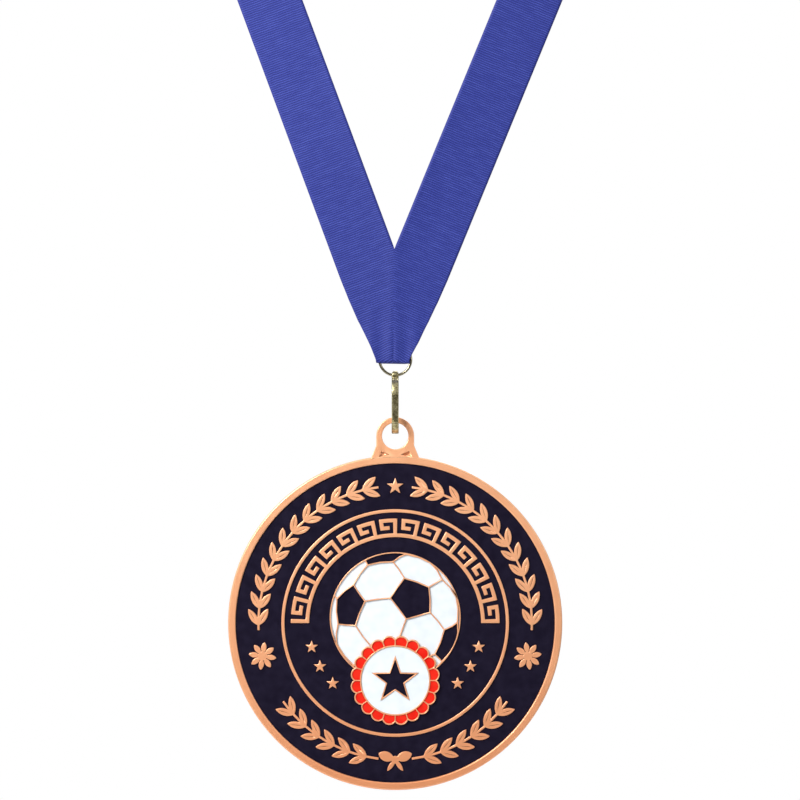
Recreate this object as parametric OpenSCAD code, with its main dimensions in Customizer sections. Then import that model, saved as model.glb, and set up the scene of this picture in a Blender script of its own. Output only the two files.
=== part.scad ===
// Cast tournament medal with soft enamel, hung by a snap hook and a jump ring from a grosgrain neck ribbon.
// Millimetres, +Z up, the front faces -Y. The origin is the middle of the ribbon's inner face at the nape.

/* [Medal] */
// Diameter over the rim
medal_d = 120; // [100:1:140]
// Thickness at the rim
medal_t = 4; // [3.5:0.1:6]
// Width of the raised rim
rim_w = 2.7; // [1.5:0.1:4]
// Outer edge's chamfer
rim_chamfer = 0.6; // [0.2:0.1:0.9]
// Height of the raised ornament over the enamel's floor
relief_h = 1.2; // [0.9:0.1:1.4]
// Depth of the enamel in its pockets
enamel_h = 0.75; // [0.3:0.05:0.8]
// Gap between enamel and metal
enamel_gap = 0.05; // [0.03:0.01:0.1]
// Radius of the line between the two bands, on a medal of 120 mm
drawn_line_r = 40.3; // [38:0.1:42]
// Width of the line between the two bands
line_w = 1.1; // [0.6:0.1:2]

/* [Outer band] */
// Leaf length of the laurel, on a medal of 120 mm
drawn_leaf_l = 6.9; // [4:0.1:7.5]
// Leaf width of the laurel, on a medal of 120 mm
drawn_leaf_w = 2.5; // [1.5:0.1:2.8]
// Angle of the leaves to their stem
leaf_angle = 31; // [20:1:38]
// Width of the stems
stem_w = 0.8; // [0.5:0.1:1.2]
// Leaf pairs on each upper branch
upper_pairs = 12; // [8:1:13]
// Leaf pairs on each lower branch
lower_pairs = 6; // [4:1:7]
// Length of a rosette's petals, on a medal of 120 mm
drawn_petal_l = 3.5; // [2:0.1:4]

/* [Inner band] */
// Height of the key pattern, on a medal of 120 mm
drawn_key_h = 6.65; // [5:0.05:7.5]
// Distance of the key pattern inside the line between the bands, on a medal of 120 mm
drawn_key_inset = 2.25; // [1:0.05:3]
// Turns of the key pattern over the upper half
key_turns = 14; // [10:1:16]
// Radius of a five-pointed star in the lower half, on a medal of 120 mm
drawn_star_r = 2.4; // [1.5:0.1:3]

/* [Football] */
// Radius of the ball, on a medal of 120 mm
drawn_ball_r = 23.5; // [20:0.1:24]
// Height of the ball's middle over the disc's middle, on a medal of 120 mm
drawn_ball_up = 1.95; // [0:0.05:3]
// Width of the metal lines between the panels
seam_w = 0.4; // [0.3:0.05:0.8]

/* [Badge] */
// Outer radius of the rosette badge, on a medal of 120 mm
drawn_badge_r = 16.1; // [13:0.1:17]
// Radius of the badge's white middle, on a medal of 120 mm
drawn_badge_white_r = 12.4; // [9:0.1:13]
// Depth of the badge's middle below the disc's middle, on a medal of 120 mm
drawn_badge_down = 20.6; // [19:0.1:22]
// Pleats round the badge
pleats = 20; // [12:1:28]
// Radius of the badge's star, on a medal of 120 mm
drawn_badge_star_r = 8.2; // [5:0.1:9.5]
// Width of the badge's walls and of the lines between its pleats
wall_w = 0.45; // [0.3:0.05:0.8]
// Height of the badge's walls over the relief
badge_rise = 0.3; // [0:0.1:0.5]

/* [Loop] */
// Radius of the hole that the hook goes through
loop_hole_r = 4.75; // [4:0.05:5.5]
// Width of metal round the hole
loop_wall = 2.05; // [1.5:0.05:3]
// Thickness of the loop
loop_t = 3.4; // [2.5:0.1:4]
// Height of the hole's middle over the disc's edge
loop_up = 7.1; // [6:0.1:9]
// Reach of the shoulders to each side, at the disc's edge
shoulder_w = 8.6; // [7:0.1:12]

/* [Snap hook] */
// Width of the hook across its flat sides
clip_w = 2.5; // [2:0.1:3.2]
// Gap between the eye's hole and the ring's wire
eye_gap = 0.3; // [0.25:0.05:0.5]
// Metal round the eye's hole
eye_wall = 0.75; // [0.6:0.05:1.5]
// Depth from the ring's wire to the seat of the medal's loop
hook_drop = 17.4; // [15:0.1:22]
// Space between the gate and the spine
hook_mouth = 7.1; // [6:0.1:9]
// Thickness of the spine
spine_t = 1.5; // [1.2:0.1:2.5]
// Thickness of the bow under the loop
bow_t = 3.3; // [2.5:0.1:4]
// Thickness of the gate
gate_t = 1; // [0.8:0.1:1.5]
// Thickness of the nose outside the gate
nose_t = 1.25; // [1:0.05:2]
// Height of the nose over the seat
nose_up = 0.7; // [0.4:0.1:2]
// Depth of the gate's pin below the ring's wire
pin_drop = 5.4; // [4.5:0.1:7]
// Radius of the gate's pin
pin_r = 0.45; // [0.3:0.05:0.6]
// Running gap of the gate
gate_gap = 0.15; // [0.1:0.05:0.3]
// Gap between the medal's loop and its seat in the bow
seat_gap = 0.3; // [0.2:0.05:0.5]

/* [Jump ring] */
// Outer diameter of the ring
ring_d = 12.3; // [11:0.1:16]
// Diameter of its wire
wire_d = 1; // [0.8:0.1:1.3]

/* [Ribbon] */
// Width of the band
ribbon_w = 22; // [15:0.5:30]
// Thickness of the band
ribbon_t = 1; // [1:0.1:1.5]
// Length of the band's middle line round the neck
loop_length = 780; // [700:10:900]
// Half the angle between the two strands in front
v_half = 21.3; // [18:0.1:25]
// Half the angle of the flat panel in front, seen from the cone's tip
flat_half = 10.5; // [9.5:0.1:11.5]
// Lean of the band to the right
lean = 1; // [0:0.1:2]
// Shift of the pendant to the right of the V's tip
pendant_shift = 0.8; // [0:0.1:1.5]
// Depth of the fold below the crossing of the strands' middle lines
fold_drop = 11.2; // [9:0.1:14]
// Half the width of the gathered band just over the fold
fold_half = 5.5; // [5:0.1:7]
// Height of the ring's middle over the fold
ring_rise = 1.7; // [1:0.1:2.5]
// Height of the gathered stretch over the fold
gather_h = 22; // [15:1:25]
// Height of the tab that is sewn on behind the fold
tab_h = 24; // [18:1:30]
// Gap between cloth and wire
cloth_gap = 0.15; // [0.1:0.05:0.3]

/* [Hidden] */
$fa = 4;
$fs = 0.4;

// The face's ornament is drawn for a medal of 120 mm, and grows with the medal
drawn_medal_d = 120;
face_scale = medal_d / drawn_medal_d;
line_r = drawn_line_r * face_scale;
leaf_l = drawn_leaf_l * face_scale;
leaf_w = drawn_leaf_w * face_scale;
petal_l = drawn_petal_l * face_scale;
key_h = drawn_key_h * face_scale;
key_inset = drawn_key_inset * face_scale;
star_r = drawn_star_r * face_scale;
ball_r = drawn_ball_r * face_scale;
ball_up = drawn_ball_up * face_scale;
badge_r = drawn_badge_r * face_scale;
badge_white_r = drawn_badge_white_r * face_scale;
badge_down = drawn_badge_down * face_scale;
badge_star_r = drawn_badge_star_r * face_scale;

// How much a cut runs past the face that it opens, and how far fused pieces reach into each other
over = 1;
sink = 0.1;

// Ring, seen from the middle of its wire at the bottom
wire_r = wire_d / 2;
ring_mid_r = ring_d / 2 - wire_r;
ring_in_r = ring_d / 2 - wire_d;

// The band lies on a rounded cone, so it is bent but never stretched.
// Unrolled, the middle of its back lies at cone_half.
cone_half = 90 - v_half;
tip_dist = loop_length / (2 * sin(cone_half));
back_dist = tip_dist * cos(cone_half);

// Tilt of the cone's axis that lets the two flat panels close at the back
function corner_half(tilt) = atan(tan(tilt) * cos(flat_half));
function corner_turn(tilt) = 2 * acos(sin(flat_half) * sin(tilt));
function unrolled(tilt) = 2 * flat_half + corner_turn(tilt) * sin(corner_half(tilt));
function solve_tilt(low, high, steps) =
    let (middle = (low + high) / 2)
    steps == 0 ? middle
    : unrolled(middle) < cone_half ? solve_tilt(middle, high, steps - 1)
    : solve_tilt(low, middle, steps - 1);
tilt = solve_tilt(5, 40, 30);
beta = corner_half(tilt);

function unit(v) = v / norm(v);
function turned(v, axis, angle) =
    v * cos(angle) + cross(axis, v) * sin(angle) + axis * (axis * v) * (1 - cos(angle));

// Direction and outward normal of the cone's line at an unrolled angle, on the right side
corner_axis = cos(beta) * [sin(flat_half), 0, -cos(flat_half)] + sin(beta) * [0, 1, 0];
back_down = [0, sin(2 * tilt), -cos(2 * tilt)];
back_out = [0, cos(2 * tilt), sin(2 * tilt)];
function line_dir(a) =
    a <= flat_half ? [sin(a), 0, -cos(a)]
    : a >= cone_half - flat_half ? cos(cone_half - a) * back_down + [sin(cone_half - a), 0, 0]
    : turned([sin(flat_half), 0, -cos(flat_half)], corner_axis, -(a - flat_half) / sin(beta));
function line_out(a) =
    a <= flat_half ? [0, -1, 0]
    : a >= cone_half - flat_half ? back_out
    : turned([0, -1, 0], corner_axis, -(a - flat_half) / sin(beta));

// The cone's tip, set so that the inner face at the nape is the origin
cone_tip = -back_dist * back_down + ribbon_t / 2 * back_out;

// A point of the right half: along the strand from the V's tip, across it, and out from its middle
function band_point(along, across, out) =
    let (side = along * sin(v_half) + across * cos(v_half))
    let (down = tip_dist - along * cos(v_half) + across * sin(v_half))
    let (angle = atan2(side, down))
    cone_tip + norm([side, down]) * line_dir(angle) + out * line_out(angle);

// Tip of the V, where the strands' middle lines cross
tip = cone_tip + [0, 0, -tip_dist];
band_front = tip[1] - ribbon_t / 2;

// Frame of the pendant: its X, and the Y of the ring's plane
function leaned(p) = [p[0] * cos(lean) + p[2] * sin(lean), p[1], p[2] * cos(lean) - p[0] * sin(lean)];
layer_y = wire_r + cloth_gap;
ring_y = band_front + ribbon_t + layer_y;
pend_x = leaned(tip)[0] + pendant_shift;
fold_z = leaned(tip)[2] - fold_drop;
ring_z = fold_z + ring_rise;
wire_z = ring_z - ring_mid_r;
tab_half = sqrt(pow(ring_in_r - 1.6 * cloth_gap, 2) - pow(ring_rise, 2));

// Snap hook, seen from the ring's bottom wire: across is Y, back is +Y
eye_r = wire_r + eye_gap;
seat_z = -hook_drop;
crest_r = 1.08 * clip_w / 2 + 0.05;
spine_in = loop_t / 2 + 0.5;
gate_in = spine_in - hook_mouth;
gate_out = gate_in - gate_t;
nose_in = gate_out - gate_gap;
hook_front = nose_in - nose_t;
hook_back = spine_in + spine_t;
hook_mid = (hook_front + hook_back) / 2;
hook_r = (hook_back - hook_front) / 2;
bow_z = seat_z - bow_t + sqrt(hook_r * hook_r - hook_mid * hook_mid);
top_r = hook_mouth / 2;
shoulder_sink = 0.45;
shoulder_z = -(eye_r + eye_wall) - hook_r + shoulder_sink;
pin_y = gate_in - gate_t / 2;
barrel_wall = 0.8;
barrel_r = pin_r + barrel_wall;
tongue_w = clip_w * 0.44;
pin_play = 0.08;

// Medal, seen from the middle of its disc
medal_r = medal_d / 2;
field_r = medal_r - rim_w;
floor_t = medal_t - 0.2 - relief_h;
relief_top = floor_t + relief_h;
badge_floor = floor_t + 0.4;
badge_top = relief_top + badge_rise;
loop_z = medal_r + loop_up;
swing_to_hole = loop_hole_r - crest_r - seat_gap;
medal_z = wire_z + seat_z - crest_r - swing_to_hole - loop_z;
loop_r = loop_hole_r + loop_wall;
band_mid_r = (line_r + line_w / 2 + field_r) / 2;
key_out_r = line_r - line_w / 2 - key_inset;
key_bar = key_h / 5;
key_bar_angle = key_bar / (key_out_r - key_h / 2) * 180 / PI;
key_step = (180 - key_bar_angle) / key_turns;
star_angles = [16, 30, 44];
star_band_r = 0.774 * line_r;
top_star_r = 1.29 * star_r;
rosette_angles = [-14, 194];
upper_start_angle = -1;
upper_end_angle = 83;
lower_start_angle = -78;
lower_end_angle = -35;

// Puts a medal drawn flat, front up, in its place
module hung_medal() {
    translate([pend_x, ring_y + medal_t / 2, medal_z])
        rotate([90, 0, 0])
            children();
}

// Flat shapes. Grow widens each by that much all round, for the enamel's pocket.
module disc_2d(r) {
    circle(r = r, $fa = 2);
}

module annulus_2d(outer, inner) {
    difference() {
        disc_2d(outer);
        disc_2d(inner);
    }
}

module vesica_2d(length, width, grow) {
    side_r = (length * length + width * width) / (4 * width);
    intersection() {
        translate([0, side_r - width / 2])
            circle(r = side_r + grow, $fa = 3);
        translate([0, width / 2 - side_r])
            circle(r = side_r + grow, $fa = 3);
    }
}

// An outline given by corners of [angle, radius], with its arcs in steps of 3 degrees
function arc_points(a, b) =
    let (steps = max(1, ceil(abs(b[0] - a[0]) / 3)))
    [for (i = [0:steps - 1])
        let (p = a + (b - a) * i / steps)
        p[1] * [cos(p[0]), sin(p[0])]];

module polar_2d(corners) {
    count = len(corners);
    polygon([for (i = [0:count - 1]) each arc_points(corners[i], corners[(i + 1) % count])]);
}

module sector_2d(outer, inner, from, to) {
    polar_2d([[from, outer], [to, outer], [to, inner], [from, inner]]);
}

module star_2d(r, grow) {
    waist = 0.4;
    reach = grow / sin(21);
    polygon([
        for (i = [0:9])
            let (a = 90 + 36 * i)
            (i % 2 == 0 ? r + reach : r * waist + grow * 1.1) * [cos(a), sin(a)]
    ]);
}

// One pair of laurel leaves, at the origin and pointing along +X
module leaf_pair_2d(grow) {
    for (side = [-1, 1])
        rotate(side * leaf_angle)
            translate([leaf_l / 2, 0])
                vesica_2d(leaf_l, leaf_w, grow);
}

module leaf_veins_2d() {
    for (side = [-1, 1])
        rotate(side * leaf_angle)
            translate([leaf_l * 0.53, 0])
                vesica_2d(leaf_l * 0.66, 0.32, 0);
}

// Places a branch's pairs from one angle towards another, on the right side
module along_branch(from, to, pairs) {
    for (i = [0:pairs - 1])
        let (a = from + (to - from) * i / pairs)
            rotate(a)
                translate([band_mid_r, 0])
                    rotate(90)
                        children();
}

module branches() {
    for (flip = [0, 1])
        mirror([flip, 0]) {
            along_branch(upper_start_angle, upper_end_angle, upper_pairs)
                children();
            along_branch(lower_start_angle, lower_end_angle, lower_pairs)
                children();
        }
}

module stems_2d(grow) {
    half = stem_w / 2 + grow;
    for (flip = [0, 1])
        mirror([flip, 0]) {
            sector_2d(band_mid_r + half, band_mid_r - half, upper_start_angle - 2, upper_end_angle);
            sector_2d(band_mid_r + half, band_mid_r - half, lower_start_angle - 5, lower_end_angle);
        }
}

// Bow that ties the lower branches together
module bow_2d(grow) {
    translate([0, -band_mid_r]) {
        circle(r = leaf_w * 0.55 + grow);
        for (side = [-1, 1]) {
            rotate(90 - 90 * side + side * 20)
                translate([leaf_l * 0.5, 0])
                    vesica_2d(leaf_l * 0.85, leaf_w * 1.4, grow);
            rotate(-90 + side * 35)
                translate([leaf_l * 0.36, 0])
                    vesica_2d(leaf_l * 0.72, leaf_w * 0.62, grow);
        }
    }
}

module rosette_2d(grow) {
    hub_r = petal_l * 0.46;
    petal_w = petal_l * 0.54;
    circle(r = hub_r + grow);
    for (i = [0:7])
        rotate(45 * i + 22.5)
            translate([hub_r + petal_l * 0.4, 0])
                vesica_2d(petal_l * 1.14, petal_w, grow);
}

module rosettes_2d(grow) {
    for (a = rosette_angles)
        rotate(a)
            translate([band_mid_r, 0])
                rosette_2d(grow);
}

module outer_ornament_2d(grow) {
    branches()
        leaf_pair_2d(grow);
    stems_2d(grow);
    bow_2d(grow);
    rosettes_2d(grow);
    translate([0, band_mid_r])
        star_2d(top_star_r, grow);
}

// Key pattern: one outline of a base line, a hooked spiral a turn and an end bar
module key_2d(grow) {
    base_r = key_out_r - key_h;
    wide = grow / (key_out_r - key_h / 2) * 180 / PI;
    hook_share = 0.8;
    line_top = base_r + key_bar + grow;
    top = key_out_r + grow;
    under_top = key_out_r - key_bar - grow;
    tongue_top = base_r + 3 * key_bar + grow;
    tongue_foot = base_r + 2 * key_bar - grow;
    hooks = [
        for (i = [0:key_turns - 1])
            let (from = i * key_step)
            let (to = from + hook_share * key_step)
            each [
                [from - wide, i == 0 ? base_r - grow : line_top],
                [from - wide, top],
                [to + wide, top],
                [to + wide, tongue_foot],
                [from + 2 * key_bar_angle - wide, tongue_foot],
                [from + 2 * key_bar_angle - wide, tongue_top],
                [to - key_bar_angle - wide, tongue_top],
                [to - key_bar_angle - wide, under_top],
                [from + key_bar_angle + wide, under_top],
                [from + key_bar_angle + wide, line_top]
            ]
    ];
    last = 180 - key_bar_angle - wide;
    end_bar = [[last, line_top], [last, top], [180 + wide, top], [180 + wide, base_r - grow]];
    polar_2d(concat(hooks, end_bar));
}

module stars_2d(grow) {
    for (flip = [0, 1])
        mirror([flip, 0])
            for (a = star_angles)
                rotate(-a)
                    translate([star_band_r, 0])
                        rotate(a)
                            star_2d(star_r, grow);
}

module inner_ornament_2d(grow) {
    key_2d(grow);
    stars_2d(grow);
}

// Football: a truncated icosahedron, turned as it is drawn and seen from the front
// A dark panel whose middle lies nearer the outline than edge_on isn't drawn.
ball_turn_angle = 48;
ball_tilt_angle = 24;
ball_spin_angle = 60;
edge_on = 0.1;
function ico(k) =
    k == 0 ? [0, 0, 1]
    : k == 11 ? [0, 0, -1]
    : k < 6 ? [2 / sqrt(5) * cos(72 * (k - 1)), 2 / sqrt(5) * sin(72 * (k - 1)), 1 / sqrt(5)]
    : [2 / sqrt(5) * cos(72 * (k - 6) + 36), 2 / sqrt(5) * sin(72 * (k - 6) + 36), -1 / sqrt(5)];
function upper(k) = 1 + (k + 4) % 5;
function lower(k) = 6 + (k + 4) % 5;
function neighbours(k) =
    k == 0 ? [1, 2, 3, 4, 5]
    : k == 11 ? [6, 7, 8, 9, 10]
    : k < 6 ? [0, upper(k + 1), k + 5, lower(k + 4), upper(k - 1)]
    : [11, lower(k - 4), upper(k - 4), upper(k - 5), lower(k - 1)];
function spun(v, a) = [v[0] * cos(a) - v[1] * sin(a), v[0] * sin(a) + v[1] * cos(a), v[2]];
function tipped(v, a) = [v[0] * cos(a) + v[2] * sin(a), v[1], v[2] * cos(a) - v[0] * sin(a)];
function drawn(v) = spun(tipped(spun(v, ball_spin_angle), ball_tilt_angle), ball_turn_angle);
function corner(i, j, share) = drawn(unit(ico(i) * (1 - share) + ico(j) * share));
function flat(v, r) = r * [v[0], v[1]];

// A corner that lies behind the ball's edge is moved just outside its outline
function shown(v, r) = v[2] > 0 ? flat(v, r) : 1.06 * r * unit([v[0], v[1]]);

// A seam is drawn in two straight halves, through its raised middle
function seam_middle(p, q) =
    let (middle = unit(p + q))
    middle[2] > 0 ? flat(middle, ball_r) : (shown(p, ball_r) + shown(q, ball_r)) / 2;

module seam_2d(p, q, half) {
    a = shown(p, ball_r);
    b = shown(q, ball_r);
    m = seam_middle(p, q);
    along = unit(b - a);
    side = [-along[1], along[0]] * half;
    end = along * half * 0.5;
    polygon([a - end + side, m + side, b + end + side, b + end - side, m - side, a - end - side]);
}

module ball_lines_2d(grow) {
    half = seam_w / 2 + grow;
    for (i = [0:11])
        for (k = [0:4]) {
            j = neighbours(i)[k];
            n = neighbours(i)[(k + 1) % 5];
            p = corner(i, j, 1 / 3);
            q = corner(i, n, 1 / 3);
            r = corner(j, i, 1 / 3);
            if (p[2] > 0 || q[2] > 0)
                seam_2d(p, q, half);
            if (i < j && (p[2] > 0 || r[2] > 0))
                seam_2d(p, r, half);
        }
}

module pentagons_2d() {
    for (i = [0:11])
        if (drawn(ico(i))[2] > edge_on)
            polygon([
                for (k = [0:4])
                    let (p = corner(i, neighbours(i)[k], 1 / 3))
                    let (q = corner(i, neighbours(i)[(k + 1) % 5], 1 / 3))
                    each [shown(p, ball_r), seam_middle(p, q)]
            ]);
}

module at_ball() {
    translate([0, ball_up])
        children();
}

module at_badge() {
    translate([0, -badge_down])
        children();
}

module ball_metal_2d() {
    at_ball() {
        annulus_2d(ball_r, ball_r - seam_w);
        intersection() {
            disc_2d(ball_r - seam_w / 2);
            ball_lines_2d(0);
        }
    }
}

module ball_cell_2d() {
    difference() {
        at_ball()
            disc_2d(ball_r - seam_w - enamel_gap);
        at_ball()
            ball_lines_2d(enamel_gap);
        at_badge()
            badge_outline_2d(-enamel_gap);
    }
}

// Badge: a pleated round rosette with a star in its white middle
spoke_w = wall_w * 0.8;
scallop_r = badge_r * sin(180 / pleats) * 1.05;

module badge_outline_2d(inset) {
    disc_2d(badge_r - scallop_r * 0.62 - inset);
    for (i = [0:pleats - 1])
        rotate(360 / pleats * (i + 0.5))
            translate([badge_r - scallop_r, 0])
                circle(r = scallop_r - inset);
}

module spokes_2d(grow) {
    for (i = [0:pleats - 1])
        rotate(360 / pleats * i)
            translate([badge_white_r, -spoke_w / 2 - grow])
                square([badge_r - badge_white_r - scallop_r * 0.3, spoke_w + 2 * grow]);
}

module badge_metal_2d() {
    difference() {
        badge_outline_2d(0);
        badge_outline_2d(wall_w);
    }
    annulus_2d(badge_white_r + wall_w / 2, badge_white_r - wall_w / 2);
    intersection() {
        badge_outline_2d(wall_w / 2);
        spokes_2d(0);
    }
    difference() {
        star_2d(badge_star_r, wall_w / 2);
        star_2d(badge_star_r, -wall_w / 2);
    }
}

// The casting

module rim() {
    inner_chamfer = rim_chamfer / 2;
    rotate_extrude($fa = 1.5)
        polygon([
            [field_r - sink, 0], [medal_r - rim_chamfer, 0], [medal_r, rim_chamfer],
            [medal_r, medal_t - rim_chamfer], [medal_r - rim_chamfer, medal_t],
            [field_r + inner_chamfer, medal_t], [field_r, medal_t - inner_chamfer],
            [field_r, floor_t], [field_r - sink, floor_t]
        ]);
}

module loop_blank() {
    slope_top = loop_z - loop_r * 0.5;
    foot_z = sqrt(medal_r * medal_r - shoulder_w * shoulder_w);
    inset = (medal_t - loop_t) / 2;
    translate([0, 0, inset])
        linear_extrude(loop_t) {
            translate([0, loop_z])
                circle(r = loop_r, $fa = 2);
            polygon([
                [-loop_r, loop_z], [-loop_r, slope_top], [-shoulder_w, foot_z],
                [-shoulder_w, foot_z - rim_w / 2], [shoulder_w, foot_z - rim_w / 2],
                [shoulder_w, foot_z], [loop_r, slope_top], [loop_r, loop_z]
            ]);
        }
}

// Three-cornered recess between the hole and the disc, on each side
module shoulder_recess() {
    depth = 0.9;
    outer_x = loop_hole_r + 0.25;
    low_x = loop_r - 0.85;
    inner_x = loop_hole_r * 0.42;
    top_z = loop_z - loop_hole_r - 0.65;
    low_z = medal_r - 0.4;
    inner_z = medal_r + 0.45;
    for (side = [-1, 1])
        translate([0, 0, (medal_t + loop_t) / 2 - depth])
            linear_extrude(depth + over)
                polygon([[side * outer_x, top_z], [side * low_x, low_z], [side * inner_x, inner_z]]);
}

module medal_casting() {
    color("peru")
        hung_medal() {
            difference() {
                union() {
                    cylinder(h = floor_t, r = field_r, $fa = 1.5);
                    rim();
                    loop_blank();
                    translate([0, 0, floor_t - sink])
                        linear_extrude(relief_h + sink) {
                            annulus_2d(line_r + line_w / 2, line_r - line_w / 2);
                            outer_ornament_2d(0);
                            inner_ornament_2d(0);
                            difference() {
                                ball_metal_2d();
                                at_badge()
                                    badge_outline_2d(wall_w / 2);
                            }
                        }
                    translate([0, 0, floor_t - sink])
                        linear_extrude(badge_floor - floor_t + sink)
                            at_badge()
                                badge_outline_2d(0);
                    translate([0, 0, floor_t])
                        linear_extrude(badge_top - floor_t)
                            at_badge()
                                badge_metal_2d();
                }
                translate([0, loop_z, -over])
                    cylinder(h = medal_t + 2 * over, r = loop_hole_r, $fa = 2);
                shoulder_recess();
                translate([0, 0, relief_top - 0.35])
                    linear_extrude(over)
                        branches()
                            leaf_veins_2d();
            }
        }
}

// Enamel, laid on the floor of its pockets
module enamel_fill(floor_z, depth) {
    hung_medal()
        translate([0, 0, floor_z + enamel_gap])
            linear_extrude(depth - enamel_gap)
                children();
}

module band_enamel() {
    color([0.11, 0.1, 0.15])
        enamel_fill(floor_t, enamel_h)
            difference() {
                annulus_2d(field_r - enamel_gap, line_r + line_w / 2 + enamel_gap);
                outer_ornament_2d(enamel_gap);
            }
}

module key_enamel() {
    color([0.11, 0.1, 0.15])
        enamel_fill(floor_t, enamel_h)
            difference() {
                disc_2d(line_r - line_w / 2 - enamel_gap);
                at_ball()
                    disc_2d(ball_r + enamel_gap);
                at_badge()
                    badge_outline_2d(-enamel_gap);
                inner_ornament_2d(enamel_gap);
            }
}

module ball_white_enamel() {
    color("white")
        enamel_fill(floor_t, enamel_h)
            difference() {
                ball_cell_2d();
                at_ball()
                    pentagons_2d();
            }
}

module ball_black_enamel() {
    color([0.1, 0.09, 0.14])
        enamel_fill(floor_t, enamel_h)
            intersection() {
                ball_cell_2d();
                at_ball()
                    pentagons_2d();
            }
}

module badge_red_enamel() {
    color([0.94, 0.2, 0.14])
        enamel_fill(badge_floor, enamel_h + badge_rise - 0.2)
            at_badge()
                difference() {
                    badge_outline_2d(wall_w + enamel_gap);
                    disc_2d(badge_white_r + wall_w / 2 + enamel_gap);
                    spokes_2d(enamel_gap);
                }
}

module badge_white_enamel() {
    color("white")
        enamel_fill(badge_floor, enamel_h + badge_rise - 0.2)
            at_badge()
                difference() {
                    disc_2d(badge_white_r - wall_w / 2 - enamel_gap);
                    star_2d(badge_star_r, wall_w / 2 + enamel_gap);
                }
}

module badge_star_enamel() {
    color([0.1, 0.09, 0.14])
        enamel_fill(badge_floor, enamel_h + badge_rise - 0.2)
            at_badge()
                star_2d(badge_star_r, -wall_w / 2 - enamel_gap);
}

// Snap hook, drawn with X across its flat sides and the ring's wire at the origin
module at_clip() {
    translate([pend_x, ring_y, wire_z])
        children();
}

// Extrudes a side view: its first coordinate is Y, its second Z
module side_plate(width) {
    rotate([90, 0, 90])
        translate([0, 0, -width / 2])
            linear_extrude(width)
                children();
}

module stadium_2d(mid, r, top, bottom) {
    translate([mid, top])
        circle(r = r, $fa = 3);
    translate([mid, bottom])
        circle(r = r, $fa = 3);
    translate([mid - r, bottom])
        square([2 * r, top - bottom]);
}

module hook_side_2d() {
    corner_r = 0.5;
    eye_out = eye_r + eye_wall;
    neck_half = eye_r + eye_wall * 0.7;
    difference() {
        union() {
            circle(r = eye_out, $fa = 4);
            translate([-neck_half, -eye_out - spine_t])
                square([2 * neck_half, eye_out + spine_t]);
            stadium_2d(hook_mid, hook_r, shoulder_z, bow_z);
        }
        circle(r = eye_r, $fa = 4);
        translate([gate_in + top_r, shoulder_z])
            circle(r = top_r, $fa = 3);
        translate([gate_in, seat_z + corner_r])
            square([hook_mouth, shoulder_z - seat_z - corner_r]);
        translate([gate_in, seat_z])
            square([hook_mouth - corner_r, corner_r * 1.5]);
        translate([spine_in - corner_r, seat_z + corner_r])
            circle(r = corner_r);
        translate([hook_front - over, seat_z + nose_up])
            square([gate_in - hook_front + 2 * over, -pin_drop - barrel_r - gate_gap - seat_z - nose_up]);
        translate([nose_in, seat_z])
            square([gate_in - nose_in + over, hook_drop - pin_drop]);
    }
}

// Cuts the seat's edges away, so that the loop swings on a round crest
module seat_rounding() {
    length = spine_in - nose_in;
    translate([0, nose_in, seat_z - crest_r])
        difference() {
            translate([-clip_w, 0, 0])
                cube([2 * clip_w, length, crest_r + 0.4]);
            translate([0, -over, 0])
                rotate([-90, 0, 0])
                    cylinder(h = length + 2 * over, r = crest_r, $fa = 4);
        }
}

module pin_hole(r) {
    translate([-clip_w, pin_y, -pin_drop])
        rotate([0, 90, 0])
            cylinder(h = 2 * clip_w, r = r, $fn = 32);
}

module clip_hook() {
    cheek = (clip_w - tongue_w) / 2;
    color([0.55, 0.5, 0.38])
        at_clip()
            difference() {
                side_plate(clip_w)
                    hook_side_2d();
                seat_rounding();
                pin_hole(pin_r);
                for (x = [-clip_w / 2 - over, clip_w / 2 - cheek])
                    translate([x, pin_y, -pin_drop])
                        rotate([0, 90, 0])
                            cylinder(h = cheek + over, r = barrel_r + gate_gap);
            }
}

module clip_pin() {
    color([0.45, 0.4, 0.3])
        at_clip()
            translate([-clip_w / 2, pin_y, -pin_drop])
                rotate([0, 90, 0])
                    cylinder(h = clip_w, r = pin_r, $fn = 32);
}

module clip_gate() {
    tip_z = seat_z + gate_gap;
    slot = tongue_w + 2 * gate_gap;
    color([0.6, 0.54, 0.4])
        at_clip()
            difference() {
                side_plate(clip_w) {
                    translate([pin_y, -pin_drop])
                        circle(r = barrel_r, $fa = 4);
                    translate([gate_out, tip_z])
                        square([gate_t, -pin_drop - tip_z]);
                }
                translate([-slot / 2, pin_y - 2 * barrel_r, -pin_drop - barrel_r - 2 * gate_gap])
                    cube([slot, 4 * barrel_r, 3 * barrel_r]);
                pin_hole(pin_r + pin_play);
            }
}

module jump_ring() {
    color([0.62, 0.6, 0.55])
        translate([pend_x, ring_y, ring_z])
            rotate([90, 0, 0])
                rotate_extrude($fa = 4)
                    translate([ring_mid_r, 0])
                        circle(r = wire_r, $fn = 24);
}

// Ribbon

// Gathered outline over the fold: height as a share of the gathered stretch, width of the free strand
gather_rows = [[0, 0.79], [0.3, 0.857], [0.63, 0.945], [0.95, 0.985]];
axle_z = fold_z + layer_y + ribbon_t;
fold_v = axle_z - leaned(tip)[2];
flat_along = tip_dist * sin(flat_half) / sin(v_half + flat_half);
flat_end = flat_along - ribbon_w / 2 * tan(v_half + flat_half);
section_gap = 0.2;
section_overlap = 0.8;
function free_half(v) = v * tan(v_half) + ribbon_w / 2 / cos(v_half);

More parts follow.
